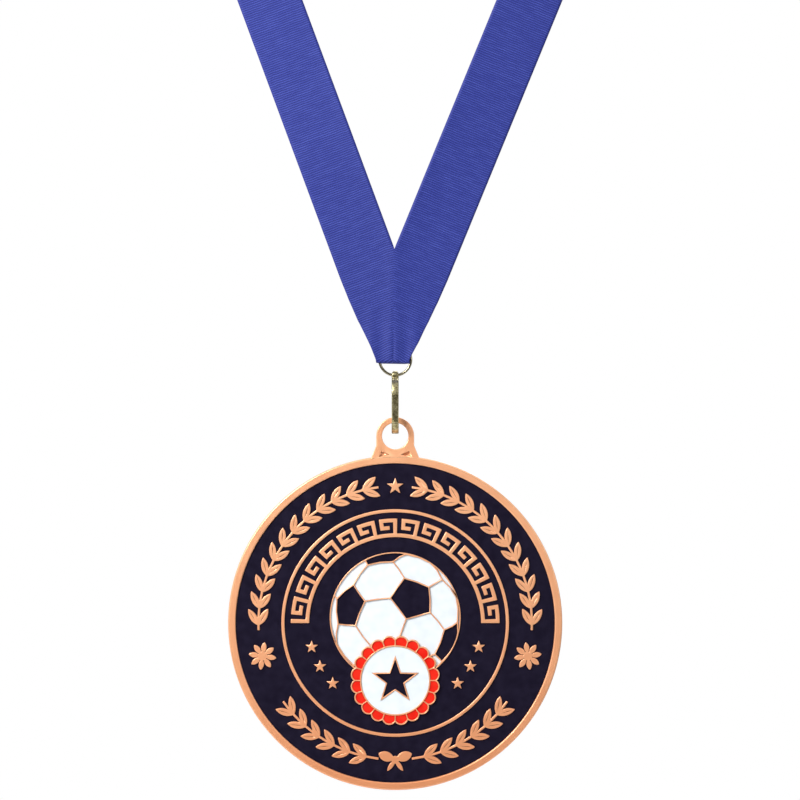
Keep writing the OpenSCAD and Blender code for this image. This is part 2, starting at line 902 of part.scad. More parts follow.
// Flat panel of the V, drawn from the tip, u to the right and v up
module v_panel_2d() {
    crotch_v = ribbon_w / 2 / sin(v_half);
    axis = [sin(v_half), cos(v_half)];
    side = [cos(v_half), -sin(v_half)];
    reach = flat_end - section_gap;
    outer_top = reach * axis + ribbon_w / 2 * side;
    inner_top = reach * axis - ribbon_w / 2 * side;
    outline = [
        for (row = gather_rows)
            let (v = fold_v + row[0] * gather_h)
            [free_half(v) * row[1], v]
    ];
    offset_u = pendant_shift - 0.55;
    polygon(concat(
        [[offset_u + fold_half, fold_v]],
        [for (p = outline) if (p[1] > fold_v) p],
        [outer_top, inner_top, [0, crotch_v], [-inner_top[0], inner_top[1]], [-outer_top[0], outer_top[1]]],
        [for (i = [len(outline) - 1:-1:0]) if (outline[i][1] > fold_v) [-outline[i][0], outline[i][1]]],
        [[offset_u - fold_half, fold_v]]
    ));
}

// Band round the neck: four corners a section, from the flat panel's right end round to its left
section_step = 7;
module band_round() {
    half = ribbon_w / 2;
    first = flat_end - section_gap - section_overlap;
    last = tip_dist * cos(v_half);
    count = ceil((last - first) / section_step);
    function section(i, flip) =
        let (along = first + (last - first) * i / count)
        [for (c = [[-1, 1], [1, 1], [1, -1], [-1, -1]])
            let (p = band_point(along, c[0] * half, c[1] * ribbon_t / 2))
            [flip * p[0], p[1], p[2]]];
    right = [for (i = [0:count]) section(i, 1)];
    left = [for (i = [count - 1:-1:0]) section(i, -1)];
    rings = concat(right, left);
    points = [for (ring = rings) each ring];
    n = len(rings);
    faces = concat(
        [[0, 1, 2], [0, 2, 3]],
        [for (i = [0:n - 2]) for (k = [0:3])
            each [
                [4 * i + k, 4 * i + 4 + k, 4 * i + 4 + (k + 1) % 4],
                [4 * i + k, 4 * i + 4 + (k + 1) % 4, 4 * i + (k + 1) % 4]
            ]],
        [[4 * n - 4, 4 * n - 2, 4 * n - 3], [4 * n - 4, 4 * n - 1, 4 * n - 2]]
    );
    polyhedron(points = points, faces = faces);
}

// Tab behind the fold: round under the wire, up behind the ring and in to the back of the V
module tab_side_2d() {
    clear_of_ring = 0.6;
    slope = 2.2;
    lift_z = ring_z + ring_d / 2 + clear_of_ring;
    meet_z = lift_z + slope * 2 * layer_y;
    outer_y = layer_y + ribbon_t;
    polygon([
        [layer_y, axle_z], [outer_y, axle_z], [outer_y, lift_z],
        [-layer_y + ribbon_t, meet_z + ribbon_t / 2], [-layer_y + ribbon_t, fold_z + tab_h],
        [-layer_y - sink, fold_z + tab_h], [-layer_y - sink, meet_z], [layer_y, lift_z]
    ]);
}

module fold_bend() {
    outer = layer_y + ribbon_t;
    rotate([90, 0, 90])
        translate([0, 0, -tab_half])
            linear_extrude(2 * tab_half)
                difference() {
                    circle(r = outer, $fn = 48);
                    circle(r = layer_y, $fn = 48);
                    translate([-outer - over, 0])
                        square([2 * outer + 2 * over, outer + over]);
                }
}

module ribbon() {
    color([0.24, 0.28, 0.66])
        union() {
            translate([leaned(tip)[0], band_front + ribbon_t, leaned(tip)[2]])
                rotate([0, lean, 0])
                    rotate([90, 0, 0])
                        linear_extrude(ribbon_t)
                            v_panel_2d();
            rotate([0, lean, 0])
                band_round();
            translate([pend_x, ring_y, axle_z])
                fold_bend();
            translate([pend_x, ring_y, 0])
                side_plate(2 * tab_half)
                    tab_side_2d();
        }
}

ribbon();
jump_ring();
clip_hook();
clip_pin();
clip_gate();
medal_casting();
band_enamel();
key_enamel();
ball_white_enamel();
ball_black_enamel();
badge_red_enamel();
badge_white_enamel();
badge_star_enamel();
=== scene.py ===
# %% [markdown]
# A tournament medal on its neck ribbon. A cast copper medal with soft enamel hangs from a snap
# hook, a jump ring and a royal-blue grosgrain ribbon. The hard parts come from the CAD model as a
# frame that never moves. Blender gives them finishes and rounded edges, and it makes the cloth,
# which CAD can't draw well.

import math

import bmesh
import bpy
from mathutils import Matrix, Vector


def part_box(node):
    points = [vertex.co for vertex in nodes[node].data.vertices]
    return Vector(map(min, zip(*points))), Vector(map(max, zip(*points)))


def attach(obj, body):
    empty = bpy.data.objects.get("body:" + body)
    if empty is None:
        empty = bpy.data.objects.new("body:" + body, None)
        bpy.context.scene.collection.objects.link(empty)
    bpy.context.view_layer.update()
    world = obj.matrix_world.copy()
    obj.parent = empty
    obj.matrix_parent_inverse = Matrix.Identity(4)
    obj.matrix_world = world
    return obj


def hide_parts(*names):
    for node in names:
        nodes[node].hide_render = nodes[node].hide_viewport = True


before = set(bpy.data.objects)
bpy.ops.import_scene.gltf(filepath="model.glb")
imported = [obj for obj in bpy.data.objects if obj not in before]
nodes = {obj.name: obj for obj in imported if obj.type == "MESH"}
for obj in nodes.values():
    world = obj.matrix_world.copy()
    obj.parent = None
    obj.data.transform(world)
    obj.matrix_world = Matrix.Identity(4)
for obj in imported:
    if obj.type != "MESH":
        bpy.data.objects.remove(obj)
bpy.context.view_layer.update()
print("CAD nodes:", sorted(nodes))

# %% [markdown]
# Every length below is thought of in millimetres, because that is how a medal is drawn, and Blender
# counts in metres. A small helper keeps the numbers readable. The middle of the disc is read from
# the casting's own box, so everything that is placed on the medal follows it.

# %% Units and the places that others need
MM = 0.001


def mm(*values):
    """A length or a point given in millimetres, in metres."""
    return values[0] * MM if len(values) == 1 else Vector(values) * MM


MEDAL_R = mm(60)
casting_low, casting_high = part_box("medal_casting")
disc_x = (casting_low.x + casting_high.x) / 2
disc_z = casting_low.z + MEDAL_R
face_y = casting_low.y
back_y = casting_high.y
print("disc middle:", round(disc_x, 5), round(disc_z, 5), "front face y:", round(face_y, 5))

# %% [markdown]
# The camera stands straight in front, as in the photograph. A near camera would make the disc
# bulge, so it stands far off with a long lens. The picture is 287 mm wide at the medal's face, and
# the lens follows from that: a sensor is to its lens as the width is to the distance.

# %% Camera
VIEW_WIDTH = mm(287)
VIEW_MIDDLE_RIGHT, VIEW_MIDDLE_UP = mm(1.72), mm(80.04)
CAMERA_DISTANCE = 1.1


def add_object(name, data):
    """Adds an object to the scene. A bmesh is made into mesh data first, and freed."""
    if isinstance(data, bmesh.types.BMesh):
        shape, data = data, bpy.data.meshes.new(name)
        shape.to_mesh(data)
        shape.free()
    thing = bpy.data.objects.new(name, data)
    bpy.context.scene.collection.objects.link(thing)
    return thing


camera_data = bpy.data.cameras.new("camera")
camera_data.sensor_width = 36
camera_data.lens = CAMERA_DISTANCE * camera_data.sensor_width / VIEW_WIDTH
camera_data.clip_start = 0.05
camera_data.clip_end = 20
camera = add_object("camera", camera_data)
camera.location = (disc_x + VIEW_MIDDLE_RIGHT, face_y - CAMERA_DISTANCE, disc_z + VIEW_MIDDLE_UP)
camera.rotation_euler = (math.radians(90), 0, 0)
bpy.context.scene.camera = camera
bpy.context.scene.view_settings.view_transform = "Standard"
print("lens:", round(camera_data.lens, 1), "mm")

# %% [markdown]
# Every finish is built from nodes, because a calculated pattern stays sharp from near by and needs
# no picture file. These helpers shorten the typing. Colours are written as a screen shows them and
# turned into the linear numbers that a shader wants.

# %% Material helpers


def screen_colour(red, green, blue):
    """A colour as a screen shows it, from 0 to 255, in the shader's linear numbers."""

    def linear(value):
        value /= 255
        return value / 12.92 if value <= 0.04045 else ((value + 0.055) / 1.055) ** 2.4

    return (linear(red), linear(green), linear(blue), 1.0)


def new_material(name, **settings):
    """A material with a Principled shader whose own sockets hold the given values."""
    material = bpy.data.materials.new(name)
    material.use_nodes = True
    shader = material.node_tree.nodes["Principled BSDF"]
    for socket, value in settings.items():
        shader.inputs[socket.replace("_", " ")].default_value = value
    return material, material.node_tree, shader


def feed(shader, name, socket):
    """Joins a socket to one of the shader's own."""
    shader.id_data.links.new(socket, shader.inputs[name])


def add_node(tree, kind, inputs=None, **settings):
    """Adds a node. An input is a value, or a socket to join to it."""
    node = tree.nodes.new(kind)
    for name, value in settings.items():
        setattr(node, name, value)
    for name, value in (inputs or {}).items():
        if isinstance(value, bpy.types.NodeSocket):
            tree.links.new(value, node.inputs[name])
        else:
            node.inputs[name].default_value = value
    return node


def math_node(tree, operation, first, second=0.0):
    """One sum on two numbers or sockets."""
    return add_node(tree, "ShaderNodeMath", {0: first, 1: second}, operation=operation).outputs[0]


def times(tree, first, second):
    return math_node(tree, "MULTIPLY", first, second)


def mix_colours(tree, share, first, second):
    """Two colours mixed by a share. A Mix node keeps its colour sockets at places 6 and 7."""
    inputs = {0: share, 6: first, 7: second}
    return add_node(tree, "ShaderNodeMix", inputs, data_type="RGBA").outputs[2]


def stretch_range(tree, value, low, high, to_low=0.0, to_high=1.0):
    """Takes the part of a value from low to high out to a new range."""
    names = {"Value": value, "From Min": low, "From Max": high, "To Min": to_low, "To Max": to_high}
    return add_node(tree, "ShaderNodeMapRange", names).outputs[0]


def noise(tree, coordinates, size, detail=2.0, roughness=0.5):
    """Noise whose lumps are about size metres across."""
    names = {"Vector": coordinates, "Scale": 1 / size, "Detail": detail, "Roughness": roughness}
    return add_node(tree, "ShaderNodeTexNoise", names).outputs["Fac"]


def object_place(tree):
    """The place on the object, in metres."""
    return add_node(tree, "ShaderNodeTexCoord").outputs["Object"]


def rounded_normal(tree, radius, samples):
    """The direction of the surface, as if its edges were rounded by a radius."""
    return add_node(tree, "ShaderNodeBevel", {"Radius": radius}, samples=samples).outputs[0]


def raised(tree, height, strength, distance, normal=None):
    """The direction of a surface with a relief laid over it."""
    names = {"Height": height, "Strength": strength, "Distance": distance}
    if normal:
        names["Normal"] = normal
    return add_node(tree, "ShaderNodeBump", names).outputs[0]


def edge_share(tree, radius):
    """1 on an edge and 0 away from it: there a rounded normal leans away from the true one."""
    true_normal = add_node(tree, "ShaderNodeNewGeometry").outputs["True Normal"]
    inputs = {0: rounded_normal(tree, radius, 6), 1: true_normal}
    match = add_node(tree, "ShaderNodeVectorMath", inputs, operation="DOT_PRODUCT")
    return stretch_range(tree, match.outputs["Value"], 1.0, 0.8)


# %% [markdown]
# The copper is a thin polished plating over a cast blank. It looks nearly matt and very light. A
# plain metal shader would mirror the room and turn dark, so only a third of it is metal here. Noise
# gives the slight clouding. The tone is painted darker towards the low end of the medal as painted
# shade, corners and hollows are painted brown as painted shade, and edges are painted paler as a
# painted highlight.

# %% The copper's colour
PALE_COPPER, WARM_COPPER = screen_colour(255, 191, 145), screen_colour(255, 178, 130)
LOW_END_SHADE_COPPER = screen_colour(240, 158, 110)
BROWN_CORNER_SHADE, PAINTED_EDGE_HIGHLIGHT = screen_colour(178, 96, 52), screen_colour(255, 214, 170)
copper, tree, shader = new_material("copper", Metallic=0.35, Coat_Weight=0.12)
place = object_place(tree)
middle_names = {"Vector": place, "Location": (-disc_x, -back_y, -disc_z)}
from_middle = add_node(tree, "ShaderNodeMapping", middle_names).outputs[0]
middle_axes = add_node(tree, "ShaderNodeSeparateXYZ", {0: from_middle})
right_of_middle, behind_back, above_middle = middle_axes.outputs
clouds = noise(tree, place, mm(9), 3.0)
edge_polish_and_highlight = edge_share(tree, mm(0.18))
painted_low_shade = math_node(tree, "POWER", stretch_range(tree, above_middle, mm(40), -MEDAL_R), 1.6)
hollows = add_node(tree, "ShaderNodeAmbientOcclusion", {"Distance": mm(0.8)}, samples=6).outputs["AO"]
painted_corner_shade = stretch_range(tree, hollows, 0.3, 0.85, 1.0, 0.0)
tone = mix_colours(tree, clouds, WARM_COPPER, PALE_COPPER)
# Painted shade: the copper is painted darker towards the low end of the medal.
tone = mix_colours(tree, painted_low_shade, tone, LOW_END_SHADE_COPPER)
# Painted shade: an occlusion mask paints corners and hollows brown.
tone = mix_colours(tree, painted_corner_shade, tone, BROWN_CORNER_SHADE)
# Painted highlight: edges are painted paler. The same edge share also makes them a little glossier.
tone = mix_colours(tree, times(tree, edge_polish_and_highlight, 0.35), tone, PAINTED_EDGE_HIGHLIGHT)
feed(shader, "Base Color", tone)
print("copper colour nodes:", len(tree.nodes))

# %% [markdown]
# A cast and tumbled surface has no crisp edge at all. A bevel wide enough for that would eat the
# thin lines, so the normals are rounded in the shader as well, which costs no faces. The back isn't
# in the photograph. Such medals have a blasted, matt field there inside a polished border, so the
# roughness also asks how far a point is from the middle of the back.

# %% The copper's surface
BACK_FIELD_R = MEDAL_R - mm(3.6)
across_names = {0: right_of_middle, 2: above_middle}
across_back = add_node(tree, "ShaderNodeCombineXYZ", across_names).outputs[0]
radius = add_node(tree, "ShaderNodeVectorMath", {0: across_back}, operation="LENGTH").outputs["Value"]
in_field = stretch_range(tree, radius, BACK_FIELD_R - mm(0.05), BACK_FIELD_R - mm(0.2))
matt = times(tree, in_field, stretch_range(tree, behind_back, mm(-0.6), mm(-0.5)))
polish = stretch_range(tree, clouds, 0.3, 0.7, 0.3, 0.4)
polish = math_node(tree, "SUBTRACT", polish, times(tree, edge_polish_and_highlight, 0.1))
polish = math_node(tree, "ADD", polish, times(tree, matt, 0.22))
feed(shader, "Roughness", polish)
cast_round = rounded_normal(tree, mm(0.5), 8)
blasted = raised(tree, noise(tree, place, mm(0.4), 2.0, 0.7), matt, mm(0.12), cast_round)
grained = raised(tree, noise(tree, place, mm(0.12), 3.0), 0.12, mm(0.02), blasted)
feed(shader, "Normal", grained)
print("copper nodes:", len(tree.nodes))

# %% [markdown]
# Soft enamel is coloured resin that was poured into the pockets and baked. It is smooth and glossy,
# it creeps up a little at the walls, and large areas show a faint waviness, which a weak bump
# gives. The three colours differ only in tone and a little in gloss, so they share one recipe.

# %% Enamels


def enamel(name, deep, light, gloss_rough, specular):
    """Baked resin in two close tones, with a soft wave in its surface."""
    material, tree, shader = new_material(
        name, Roughness=gloss_rough, Coat_Weight=0.1, Coat_Roughness=0.1, Specular_IOR_Level=specular
    )
    place = object_place(tree)
    wave = noise(tree, place, mm(3.5), 1.0)
    specks = noise(tree, place, mm(0.25), 2.0)
    wave_share = stretch_range(tree, wave, 0.3, 0.7)
    tone = mix_colours(tree, wave_share, screen_colour(*deep), screen_colour(*light))
    feed(shader, "Base Color", tone)
    height = math_node(tree, "ADD", wave, times(tree, specks, 0.05))
    feed(shader, "Normal", raised(tree, height, 0.3, mm(0.05)))
    return material


dark_enamel = enamel("dark_enamel", (22, 18, 34), (29, 25, 42), 0.25, 0.25)
white_enamel = enamel("white_enamel", (222, 230, 236), (231, 238, 243), 0.22, 0.3)
red_enamel = enamel("red_enamel", (222, 34, 22), (236, 48, 32), 0.22, 0.3)
print("enamels:", dark_enamel.name, white_enamel.name, red_enamel.name)

# %% [markdown]
# The two dark fields lie round all the raised ornament. They could be copied and given a meniscus,
# but their outlines are so fine that nothing of it would show, and the CAD shape is right. So the
# nodes themselves stay and only get their finish.

# %% Give the dark fields their finish
for name in ("band_enamel", "key_enamel"):
    field = nodes[name].data
    field.materials.clear()
    field.materials.append(dark_enamel)
    print(name, "faces:", len(field.polygons))

# %% [markdown]
# The casting came out of a die, so none of its edges is sharp: every raised line has a rounded top
# edge, and these edges draw the fine light outlines that a cast medal shows. A Bevel modifier would
# round all edges alike, also those inside the pockets. So a copy of the node is merged, its flat
# faces are made whole again, and the bevel operator rounds chosen groups of its outward edges.

# %% Copy a CAD node and round its edges


def middle_of(edge):
    return (edge.verts[0].co + edge.verts[1].co) / 2


def anywhere(place):
    return True


def simplify(shape, degrees, wanted=anywhere):
    """Joins faces that turn less than an angle, where their points are wanted."""
    bmesh.ops.dissolve_limit(
        shape,
        angle_limit=math.radians(degrees),
        use_dissolve_boundaries=False,
        verts=[vertex for vertex in shape.verts if wanted(vertex.co)],
        edges=[edge for edge in shape.edges if wanted(middle_of(edge))],
        delimit=set(),
    )


def cut_faces(shape, parts, place, normal):
    """Cuts faces along a plane and keeps both sides."""
    bmesh.ops.bisect_plane(shape, geom=parts, plane_co=place, plane_no=normal, dist=mm(0.001))


def merged_copy(name, degrees=0.5):
    """A node's shape in a bmesh of its own, with its loose triangles joined into whole faces."""
    shape = bmesh.new()
    shape.from_mesh(nodes[name].data)
    bmesh.ops.remove_doubles(shape, verts=shape.verts, dist=mm(0.001))
    simplify(shape, degrees)
    return shape


def round_edges(shape, wanted, radius, segments=2, sharp=50):
    """Rounds the wanted ones of the edges that turn outwards by more than the sharp angle."""
    edges = [
        edge
        for edge in shape.edges
        if edge.is_manifold and edge.calc_face_angle_signed() > math.radians(sharp) and wanted(edge)
    ]
    bmesh.ops.bevel(
        shape,
        geom=edges,
        offset=radius,
        offset_type="OFFSET",
        segments=segments,
        profile=0.5,
        affect="EDGES",
        clamp_overlap=False,
        material=-1,
    )
    return len(edges)


def finished_piece(shape, name, material, smooth_angle=40):
    """Makes an object of a bmesh, smooth except at its sharper edges."""
    piece = add_object(name, shape)
    data = piece.data
    data.shade_smooth()
    data.set_sharp_from_angle(angle=math.radians(smooth_angle))
    data.materials.clear()
    data.materials.append(material)
    piece.modifiers.new("flat_faces_stay_flat", "WEIGHTED_NORMAL").keep_sharp = True
    return piece


def stand_in(piece, node_name, body):
    """Lets a piece stand for a CAD node and ride on its body."""
    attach(piece, body)
    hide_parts(node_name)


# %% [markdown]
# The medal's edges fall into groups that a caster would finish in different ways: hair-thin walls
# of the ball and the badge, the ornament, the rim, and the loop. Edges have no names after the CAD
# step, so each group is told apart by its distance from a middle and by the height of the wall
# below it.

# %% Tell the medal's edges apart
FIELD_R = MEDAL_R - mm(2.7)
LINE_R = mm(40.3)
DISC_MIDDLE = Vector((disc_x, 0, disc_z))
BALL_MIDDLE = Vector((disc_x, 0, disc_z + mm(1.95)))
BALL_R = mm(23.5)
BADGE_MIDDLE = Vector((disc_x, 0, disc_z - mm(20.6)))
BADGE_R = mm(16.1)
LOOP_FOOT = disc_z + MEDAL_R + mm(0.9)
RECESS_TOP = disc_z + MEDAL_R + mm(1.95)
RECESS_OUTER = mm(6.6)


def reach(point, middle):
    """Distance from a middle, seen from the front."""
    return math.hypot(point.x - middle.x, point.z - middle.z)


def wall_height(edge):
    """How tall the lower of an edge's upright faces is, from front to back."""
    heights = []
    for face in edge.link_faces:
        depths = [vertex.co.y for vertex in face.verts]
        if abs(face.normal.y) < 0.9:
            heights.append(max(depths) - min(depths))
    return min(heights, default=0.0)


def on_thin_line(edge):
    point = middle_of(edge)
    on_ball = reach(point, BALL_MIDDLE) < BALL_R + mm(0.2)
    return on_ball or reach(point, BADGE_MIDDLE) < BADGE_R + mm(0.2)


def on_ornament(edge):
    inside = reach(middle_of(edge), DISC_MIDDLE) < FIELD_R - mm(0.5)
    return inside and wall_height(edge) > mm(0.6) and not on_thin_line(edge)


def on_rim(edge):
    from_middle = reach(middle_of(edge), DISC_MIDDLE)
    return abs(from_middle - FIELD_R) < mm(0.3) or abs(from_middle - MEDAL_R) < mm(0.08)


def on_recess(point):
    """In the three-cornered recesses beside the loop's foot, which are too small for a bevel."""
    return abs(point.x - disc_x) < RECESS_OUTER and point.z < RECESS_TOP


def on_loop(edge):
    point = middle_of(edge)
    return point.z > LOOP_FOOT and wall_height(edge) > mm(1.2) and not on_recess(point)


def on_back_field(edge):
    point = middle_of(edge)
    return point.y > back_y - mm(0.01) and abs(reach(point, DISC_MIDDLE) - BACK_FIELD_R) < mm(0.05)


# %% [markdown]
# The back of such a medal is turned a little lower inside its border. A flat cylinder, cut out of
# the back with the exact boolean, makes that field. An inset can't do it, because the back is one
# face that also holds the loop.

# %% Sink a field into the back
FIELD_DEPTH = mm(0.15)


def cut_from(shape, cutter):
    """Cuts one shape out of another with Blender's exact boolean, and returns what is left."""
    blanks = [add_object("blank", part) for part in (shape, cutter)]
    cut = blanks[0].modifiers.new("cut", "BOOLEAN")
    cut.operation, cut.solver, cut.object = "DIFFERENCE", "EXACT", blanks[1]
    left = bmesh.new()
    left.from_object(blanks[0], bpy.context.evaluated_depsgraph_get())
    for blank in blanks:
        bpy.data.meshes.remove(blank.data)
    return left


cutter = bmesh.new()
bmesh.ops.create_cone(
    cutter,
    cap_ends=True,
    segments=180,
    radius1=BACK_FIELD_R,
    radius2=BACK_FIELD_R,
    depth=2 * FIELD_DEPTH,
)
bmesh.ops.rotate(cutter, verts=cutter.verts, matrix=Matrix.Rotation(math.radians(90), 3, "X"))
bmesh.ops.translate(cutter, verts=cutter.verts, vec=(disc_x, back_y, disc_z))
struck = cut_from(merged_copy("medal_casting"), cutter)
print("faces with the field:", len(struck.faces))

# %% [markdown]
# A bevel goes wrong on a face that has a hole in it, and the loop's front has three: the eye and
# two recesses. Upright cuts through the holes turn it into a few faces without a hole. The leaves'
# curved walls are made of many slivers, so they are joined up as far as a small angle allows before
# their top edges are rounded.

# %% Make the faces ready for the bevel
LOOP_RECESS_X = mm(3.8)


def in_laurel(point):
    from_middle = reach(point, DISC_MIDDLE)
    return LINE_R + mm(0.8) < from_middle < FIELD_R - mm(0.5) and point.y < back_y - mm(1)


def tidy_loop_face(shape):
    """Cuts the loop's faces upright through their holes, so none of them has a hole left."""
    cuts = [disc_x, disc_x - LOOP_RECESS_X, disc_x + LOOP_RECESS_X]
    for cut_x in cuts:
        faces = [f for f in shape.faces if max(v.co.z for v in f.verts) > LOOP_FOOT + mm(0.5)]
        edges = [edge for face in faces for edge in face.edges]
        corners = [vertex for face in faces for vertex in face.verts]
        cut_faces(shape, list(dict.fromkeys(faces + edges + corners)), (cut_x, 0, 0), (1, 0, 0))

    def off_the_cuts(point):
        return point.z > LOOP_FOOT and all(abs(point.x - cut_x) > mm(0.005) for cut_x in cuts)

    simplify(shape, 0.5, off_the_cuts)


simplify(struck, 8, in_laurel)
tidy_loop_face(struck)
print("faces before the bevel:", len(struck.faces))

# %% [markdown]
# Now each group is rounded by what its walls can bear: 0.1 mm on walls 0.4 mm thick, most on the
# loop, which is handled and worn. The rim stands only 0.3 mm proud of the loop, so its own radius
# stays below that.

# %% The struck medal
rounded = {
    "lines": round_edges(struck, on_thin_line, mm(0.1)),
    "ornament": round_edges(struck, on_ornament, mm(0.17)),
    "rim": round_edges(struck, on_rim, mm(0.18), 2, 35),
    "loop": round_edges(struck, on_loop, mm(0.3), 3),
    "back": round_edges(struck, on_back_field, mm(0.1)),
}
struck_medal = finished_piece(struck, "struck_medal", copper)
stand_in(struck_medal, "medal_casting", "medal")
print("rounded edges:", rounded, "faces:", len(struck_medal.data.polygons))

# %% [markdown]
# Enamel wets the metal. It stands highest where it touches a wall and sinks a little inside. A
# sculpted dip would need a dense mesh. An inset of each cell's front, pushed back a little, gives
# the same edge with a few faces. A wide inset folds over itself in a narrow corner, so its width
# follows the cell: slim cells get a slimmer edge.

# %% Enamel cells of the ball and the badge
WIDEST_EDGE = 0.8


def islands(faces):
    """Sorts faces into groups that hang together."""
    left, groups = dict.fromkeys(faces), []
    while left:
        group, to_visit = [], [left.popitem()[0]]
        while to_visit:
            group.append(to_visit.pop())
            for other in [face for edge in group[-1].edges for face in edge.link_faces]:
                if other in left:
                    del left[other]
                    to_visit.append(other)
        groups.append(group)
    return groups


def outline_length(faces):
    """How long the outline round a group of faces is."""
    inside = set(faces)
    edges = [edge for face in faces for edge in face.edges if not set(edge.link_faces) <= inside]
    return sum(edge.calc_length() for edge in edges)


def poured_cells(name, piece_name, material, slot, creep, dip):
    """Copies a node's cells, and lets the front of each sink inside a sloping edge."""
    cells = merged_copy(name)
    bmesh.ops.remove_doubles(cells, verts=cells.verts, dist=mm(0.06))
    fronts = islands([face for face in cells.faces if face.normal.y < -0.9])
    for front in fronts:
        half_width = sum(face.calc_area() for face in front) / outline_length(front)
        ease = min(1.0, WIDEST_EDGE * half_width / creep)
        bmesh.ops.inset_region(
            cells,
            faces=front,
            use_boundary=True,
            use_even_offset=True,
            thickness=creep * ease,
            depth=-dip * ease,
        )
    piece = finished_piece(cells, piece_name, material, 60)
    stand_in(piece, name, "medal")
    print(piece_name, "cells:", len(fronts))


CELLS = (
    ("ball_white_enamel", "white_ball_panels", white_enamel, "white_enamel", 0.15, 0.06),
    ("ball_black_enamel", "dark_ball_panels", dark_enamel, "dark_enamel", 0.15, 0.06),
    ("badge_red_enamel", "red_pleats", red_enamel, "red_enamel", 0.25, 0.08),
    ("badge_white_enamel", "badge_field", white_enamel, "white_enamel", 0.25, 0.08),
    ("badge_star_enamel", "badge_star", dark_enamel, "dark_enamel", 0.2, 0.08),
)
for *names, creep, dip in CELLS:
    poured_cells(*names, mm(creep), mm(dip))

# %% [markdown]
# The snap hook is brass with a dark antique finish that was rubbed back: olive brown in the
# hollows, speckled on the flats, brighter on the edges, with a lengthwise grain from tumbling. The
# small bright speckles are partly that rubbed finish and partly painted glints.
# Speckles could be painted as a picture, but two sizes of noise and the edge helper give them from
# every side. The hook is narrow, so the shader rounds its edges further, and it looks nearly like a
# rod.

# %% Clip metal and ring wire


def rubbed_metal(name, dark, bright, rough, edge_width, specks, round_off):
    """Metal with a dark finish that is rubbed bright along its edges and in specks, which are partly
    painted glints.
    """
    material, tree, shader = new_material(name, Metallic=1.0)
    place = object_place(tree)
    long_names = {"Vector": place, "Scale": (1.0, 1.0, 0.12)}
    long_place = add_node(tree, "ShaderNodeMapping", long_names).outputs[0]
    scratches = noise(tree, long_place, mm(0.12), 2.0)
    mottling = noise(tree, place, mm(1.2), 4.0, 0.6)
    speckles = noise(tree, place, mm(0.3), 2.0, 0.7)
    wide_share = times(tree, stretch_range(tree, mottling, 0.35, 0.75), specks)
    # Partly painted glints: the small bright speckles also stand for glints on the metal.
    speckle_glint_share = times(tree, stretch_range(tree, speckles, 0.52, 0.7), specks)
    rubbed = math_node(tree, "ADD", wide_share, speckle_glint_share)
    rubbed = math_node(tree, "MAXIMUM", rubbed, edge_share(tree, edge_width))
    feed(shader, "Base Color", mix_colours(tree, rubbed, dark, bright))
    polish = stretch_range(tree, scratches, 0.3, 0.7, rough - 0.06, rough + 0.1)
    feed(shader, "Roughness", polish)
    grain = math_node(tree, "ADD", scratches, speckles)
    surface = raised(tree, grain, 0.35, mm(0.03), rounded_normal(tree, round_off, 8))
    feed(shader, "Normal", surface)
    print(name, "nodes:", len(tree.nodes))
    return material


clip_metal = rubbed_metal(
    "clip_metal",
    dark=screen_colour(116, 106, 70),
    bright=screen_colour(236, 226, 178),
    rough=0.36,
    edge_width=mm(0.2),
    specks=0.8,
    round_off=mm(0.7),
)
ring_wire = rubbed_metal(
    "ring_wire",
    dark=screen_colour(140, 132, 104),
    bright=screen_colour(226, 220, 196),
    rough=0.24,
    edge_width=mm(0.1),
    specks=0.3,
    round_off=mm(0.1),
)

# %% [markdown]
# The hook's body is one flat casting whose eye narrows towards its top, as the photograph shows.
# The CAD eye is straight, and a taper is easy with points to move: a few level cuts make them, and
# each is drawn in by how high it stands. The pocket that holds the pin keeps its sharp edge,
# because a bevel would break into the pin's hole.

# %% The snap hook's body
pin_low, pin_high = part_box("clip_pin")
pin_middle = (pin_low + pin_high) / 2
POCKET_R = mm(1.46)
EYE_OUT = mm(1.55)
EYE_CUTS = 7
EYE_TAPER = 0.72


def on_side_outline(edge):
    """Between a flat side and the wall round it, but not in the pocket that holds the pin."""
    tilts = sorted(abs(face.normal.x) for face in edge.link_faces)
    point = middle_of(edge)
    from_pin = math.hypot(point.y - pin_middle.y, point.z - pin_middle.z)
    return tilts[0] < 0.3 and tilts[-1] > 0.6 and from_pin > POCKET_R


hook_body = merged_copy("clip_hook", 2)
eye_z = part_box("clip_hook")[1].z - EYE_OUT
for cut in range(EYE_CUTS):
    everything = list(hook_body.verts) + list(hook_body.edges) + list(hook_body.faces)
    cut_place = (0, 0, eye_z + EYE_OUT * cut / EYE_CUTS)
    cut_faces(hook_body, everything, cut_place, (0, 0, 1))
for vertex in hook_body.verts:
    rise = min(1.0, max(0.0, (vertex.co.z - eye_z) / EYE_OUT))
    vertex.co.x = pin_middle.x + (vertex.co.x - pin_middle.x) * math.sqrt(1 - EYE_TAPER * rise**2)
print("hook edges rounded:", round_edges(hook_body, on_side_outline, mm(0.3), 3))
stand_in(finished_piece(hook_body, "hook_body", clip_metal), "clip_hook", "clip")

# %% [markdown]
# The gate is a slim bar that turns on a riveted pin. Only its front edges are rounded: its back
# meets the hook and is hidden, and its top end lies round the pin. It is a piece of its own,
# because it moves on its own body.

# %% The gate and its pin
gate_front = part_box("clip_gate")[0].y
FRONT_DEPTH = mm(0.9)


def on_gate_front(edge):
    point = middle_of(edge)
    return on_side_outline(edge) and point.y < gate_front + FRONT_DEPTH and point.z < pin_low.z


spring_gate = merged_copy("clip_gate", 2)
print("gate edges rounded:", round_edges(spring_gate, on_gate_front, mm(0.3), 3))
stand_in(finished_piece(spring_gate, "spring_gate", clip_metal), "clip_gate", "gate")

